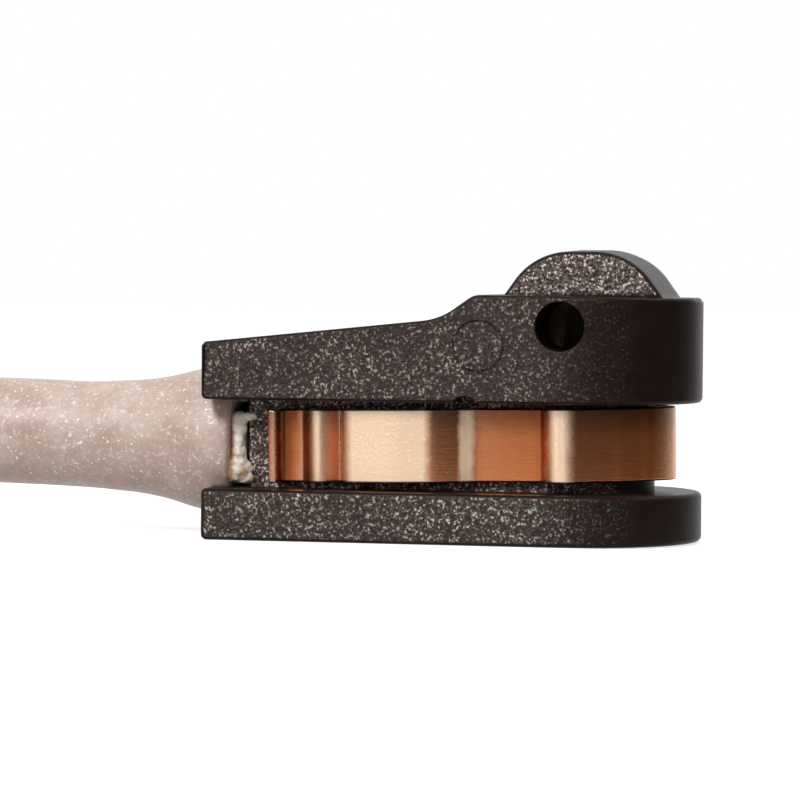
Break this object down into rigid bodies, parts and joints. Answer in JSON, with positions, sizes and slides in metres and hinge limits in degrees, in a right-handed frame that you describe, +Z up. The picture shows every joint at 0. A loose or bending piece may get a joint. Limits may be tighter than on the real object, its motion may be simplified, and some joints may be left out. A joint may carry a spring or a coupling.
{
  "type": "brake pad wear sensor",
  "caption": "Moulded wear sensor head with a grooved base, a spring clip in the groove and a wire loop in its bump, on a sheathed lead with a flared end and a plug.",
  "frame": {"origin": "under the middle of the head and its wires' ends, on the lower flange's flat bottom", "axes": "+Z up through the wear bump, +X towards the round nose, the lead leaves to -X, the pictured side faces -Y"},
  "size_m": [0.1077, 0.0707, 0.0131],
  "materials": {
    "sensor_body": "fine spark-eroded grain on the sides, smooth along the draw",
    "retaining_spring": "bright rolled copper-alloy strip",
    "sheath": "satin grey-beige",
    "sealant": "cream, matt",
    "conductor": "bright copper strands",
    "insulation": "satin",
    "tie": "satin black",
    "connector": "fine matt black",
    "seal": "matt silicone",
    "terminal": "tinned",
    "retainer": "natural nylon, satin"
  },
  "bodies": {
    "root": {"sensor_body": "sensor_body", "retaining_spring": "retaining_spring", "sheath_flare": "sheath", "sealant_bead": "sealant", "loop_conductor": "conductor", "loop_insulation": "insulation", "cable_lead": "sheath", "cable_coil": "sheath", "cable_tail": "sheath", "coil_tie": "tie", "connector_housing": "connector", "connector_rear_seal": "seal", "connector_rear_cap": "connector", "terminal_a": "terminal", "terminal_b": "terminal", "terminal_retainer": "retainer", "core_a": "insulation", "core_b": "insulation"}
  },
  "joints": []
}
